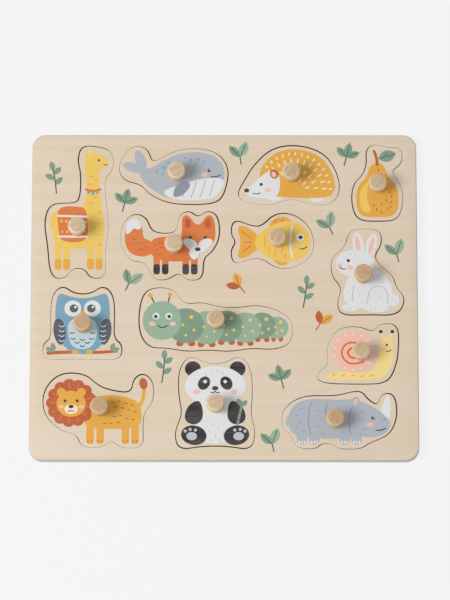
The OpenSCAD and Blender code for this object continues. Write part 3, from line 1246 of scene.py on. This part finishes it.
class PUZZLE_OT_knobs(bpy.types.Operator):
    """Turned knobs, each with its tenon in a figure"""

    bl_idname = "peg_puzzle.knobs"
    bl_label = "Knobs"

    def execute(self, context):
        settings = context.scene.peg_puzzle
        wood = settings.wood
        sides = [
            turned_beech("pale_beech", wood.beech_pale, wood.beech_grain),
            turned_beech("beech", wood.beech, wood.beech_grain),
            turned_beech("ruddy_beech", wood.beech_ruddy, wood.beech_grain),
        ]
        # The tops' darker tone is painted shade over the end grain
        shaded_tops = [
            shaded_beech_end_grain("shaded_pale_end_grain", wood.shaded_end_pale, wood.beech_grain, turn=25),
            shaded_beech_end_grain("end_grain", wood.end, wood.beech_grain, turn=65),
            shaded_beech_end_grain("shaded_ruddy_end_grain", wood.shaded_end_ruddy, wood.beech_grain, turn=140),
        ]
        low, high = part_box("llama_knob")
        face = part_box("llama_piece")[1].z
        master = turned_knob(knob_profile(settings.size, (high.x - low.x) / 2, low.z, face, high.z))
        # The flat top gets the darker material, which is painted shade
        round_side, shaded_flat_top = range(2)
        for side in master.data.polygons:
            side.material_index = shaded_flat_top if side.normal.z > FACES_UP else round_side
        for name, figure in FIGURES.items():
            only(master)
            bpy.ops.object.duplicate()
            knob = bpy.context.object
            knob.name = name + "_turned_knob"
            knob.data.name = knob.name
            knob.data.materials.append(sides[figure.tone])
            knob.data.materials.append(shaded_tops[figure.tone])
            low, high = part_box(name + "_knob")
            bpy.ops.transform.translate(value=((low.x + high.x) / 2, (low.y + high.y) / 2, 0))
            bpy.ops.object.transform_apply(location=True, rotation=True, scale=True)
            put_in_place(knob, name, name + "_knob")
        only(master)
        bpy.ops.object.delete()
        return {"FINISHED"}


class PUZZLE_OT_prints(bpy.types.Operator):
    """Printed picture on each figure"""

    bl_idname = "peg_puzzle.prints"
    bl_label = "Prints"

    def execute(self, context):
        settings = context.scene.peg_puzzle
        for name, figure in FIGURES.items():
            low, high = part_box(name + "_knob")
            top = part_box(name + "_piece")[1].z
            films = print_films(settings, DRAWINGS[name](), figure.unit * MM, (low + high) / 2, top)
            piece = join_films(films, name + "_print")
            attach(piece, name)
        return {"FINISHED"}


class PUZZLE_OT_sprigs(bpy.types.Operator):
    """Leaf sprigs printed on the tray between the figures"""

    bl_idname = "peg_puzzle.sprigs"
    bl_label = "Sprigs"

    def execute(self, context):
        settings = context.scene.peg_puzzle
        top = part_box("tray")[1].z
        films = []
        for x, y, turn, kind in SPRIGS:
            place = Vector((x * MM, y * MM, 0))
            films += print_films(settings, DRAWINGS[kind](), SPRIG_UNIT * MM, place, top, math.radians(turn))
        piece = join_films(films, "leaf_sprigs")
        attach(piece, "board")
        return {"FINISHED"}


class PUZZLE_OT_stage(bpy.types.Operator):
    """Pale studio floor, soft light and the camera"""

    bl_idname = "peg_puzzle.stage"
    bl_label = "Stage"

    def execute(self, context):
        stage = context.scene.peg_puzzle.stage
        context.scene.view_settings.view_transform = "Standard"
        self.floor(stage)
        self.world(context.scene, stage)
        self.window_light(stage)
        self.camera(context.scene, stage)
        return {"FINISHED"}

    def seen(self, tree):
        """1 for a ray that comes straight from the camera, a mirror or glass, and otherwise 0."""
        path = add_node(tree, "ShaderNodeLightPath")
        mirror = add_node(
            tree,
            "ShaderNodeMath",
            {"operation": "MAXIMUM"},
            {0: path.outputs["Is Camera Ray"], 1: path.outputs["Is Glossy Ray"]},
        )
        glass = add_node(
            tree,
            "ShaderNodeMath",
            {"operation": "MAXIMUM"},
            {0: mirror.outputs["Value"], 1: path.outputs["Is Transmission Ray"]},
        )
        return glass.outputs["Value"]

    def floor(self, stage):
        """Wide pale floor just under the board, which takes a faint shadow."""
        bpy.ops.object.select_all(action="DESELECT")
        bpy.ops.mesh.primitive_plane_add(size=FLOOR_SIZE, location=(0, 0, cad_box[0].z - FLOOR_DROP))
        floor = bpy.context.object
        floor.name = "studio_floor"
        material, tree = new_material("studio_paper")
        paper = add_node(tree, "ShaderNodeBsdfDiffuse", inputs={"Color": stage.backdrop})
        glow = add_node(tree, "ShaderNodeEmission", inputs={"Color": stage.backdrop, "Strength": 1.0})
        share = add_node(
            tree, "ShaderNodeMath", {"operation": "MULTIPLY"}, {0: self.seen(tree), 1: stage.glow}
        )
        mix = add_node(
            tree,
            "ShaderNodeMixShader",
            inputs={0: share.outputs["Value"], 1: paper.outputs["BSDF"], 2: glow.outputs["Emission"]},
        )
        add_node(tree, "ShaderNodeOutputMaterial", inputs={"Surface": mix.outputs["Shader"]})
        floor.data.materials.append(material)

    def world(self, scene, stage):
        """Even fill light, with the backdrop's colour where it is seen."""
        scene.world = bpy.data.worlds.new("studio")
        scene.world.use_nodes = True
        tree = scene.world.node_tree
        tree.nodes.clear()
        fill = add_node(
            tree, "ShaderNodeBackground", inputs={"Color": (1.0, 1.0, 1.0, 1.0), "Strength": stage.fill}
        )
        backdrop = add_node(
            tree, "ShaderNodeBackground", inputs={"Color": stage.backdrop, "Strength": 1.0}
        )
        mix = add_node(
            tree,
            "ShaderNodeMixShader",
            inputs={0: self.seen(tree), 1: fill.outputs["Background"], 2: backdrop.outputs["Background"]},
        )
        add_node(tree, "ShaderNodeOutputWorld", inputs={"Surface": mix.outputs["Shader"]})

    def window_light(self, stage):
        """Soft light from the left and a little from the front."""
        level = math.cos(stage.key_height)
        towards = Vector((
            -math.cos(stage.key_turn) * level, -math.sin(stage.key_turn) * level, math.sin(stage.key_height)
        ))
        bpy.ops.object.light_add(type="AREA", location=towards * stage.key_distance)
        lamp = bpy.context.object
        lamp.name = "window_light"
        lamp.rotation_euler = towards.to_track_quat("Z", "Y").to_euler()
        lamp.data.shape = "DISK"
        lamp.data.size = stage.key_size
        lamp.data.energy = stage.key
        lamp.visible_camera = False

    def camera(self, scene, stage):
        """Camera in front of the board and high above it."""
        back = Vector((0, -math.cos(stage.camera_height), math.sin(stage.camera_height)))
        bpy.ops.object.camera_add(location=Vector(CAMERA_AIM) + back * stage.camera_distance)
        camera = bpy.context.object
        camera.rotation_mode = "ZYX"
        camera.rotation_euler = (math.radians(90) - stage.camera_height, 0, stage.camera_roll)
        camera.data.lens = stage.lens
        camera.data.sensor_width = SENSOR_MM
        camera.data.clip_end = FAR_CLIP
        scene.camera = camera


class PUZZLE_PT_panel(bpy.types.Panel):
    """Settings and steps of the peg puzzle"""

    bl_idname = "PUZZLE_PT_panel"
    bl_label = "Peg puzzle"
    bl_space_type = "VIEW_3D"
    bl_region_type = "UI"
    bl_category = "Peg puzzle"

    def draw(self, context):
        settings = context.scene.peg_puzzle
        for group in (settings.size, settings.wood, settings.ink, settings.stage):
            box = self.layout.box()
            for name in group.__annotations__:
                box.prop(group, name)
        for step in STEPS:
            self.layout.operator(step.bl_idname)


STEPS = (
    PUZZLE_OT_backing_board,
    PUZZLE_OT_tray,
    PUZZLE_OT_figures,
    PUZZLE_OT_knobs,
    PUZZLE_OT_prints,
    PUZZLE_OT_sprigs,
    PUZZLE_OT_stage,
)
SETTINGS = (WoodSettings, InkSettings, SizeSettings, StageSettings, PegPuzzleSettings)
CLASSES = SETTINGS + STEPS + (PUZZLE_PT_panel,)


def register():
    for each in CLASSES:
        bpy.utils.register_class(each)
    bpy.types.Scene.peg_puzzle = bpy.props.PointerProperty(type=PegPuzzleSettings)


def unregister():
    del bpy.types.Scene.peg_puzzle
    for each in reversed(CLASSES):
        bpy.utils.unregister_class(each)


def main():
    register()
    bpy.ops.peg_puzzle.backing_board()
    bpy.ops.peg_puzzle.tray()
    bpy.ops.peg_puzzle.figures()
    bpy.ops.peg_puzzle.knobs()
    bpy.ops.peg_puzzle.prints()
    bpy.ops.peg_puzzle.sprigs()
    bpy.ops.peg_puzzle.stage()


if __name__ == "__main__":
    main()
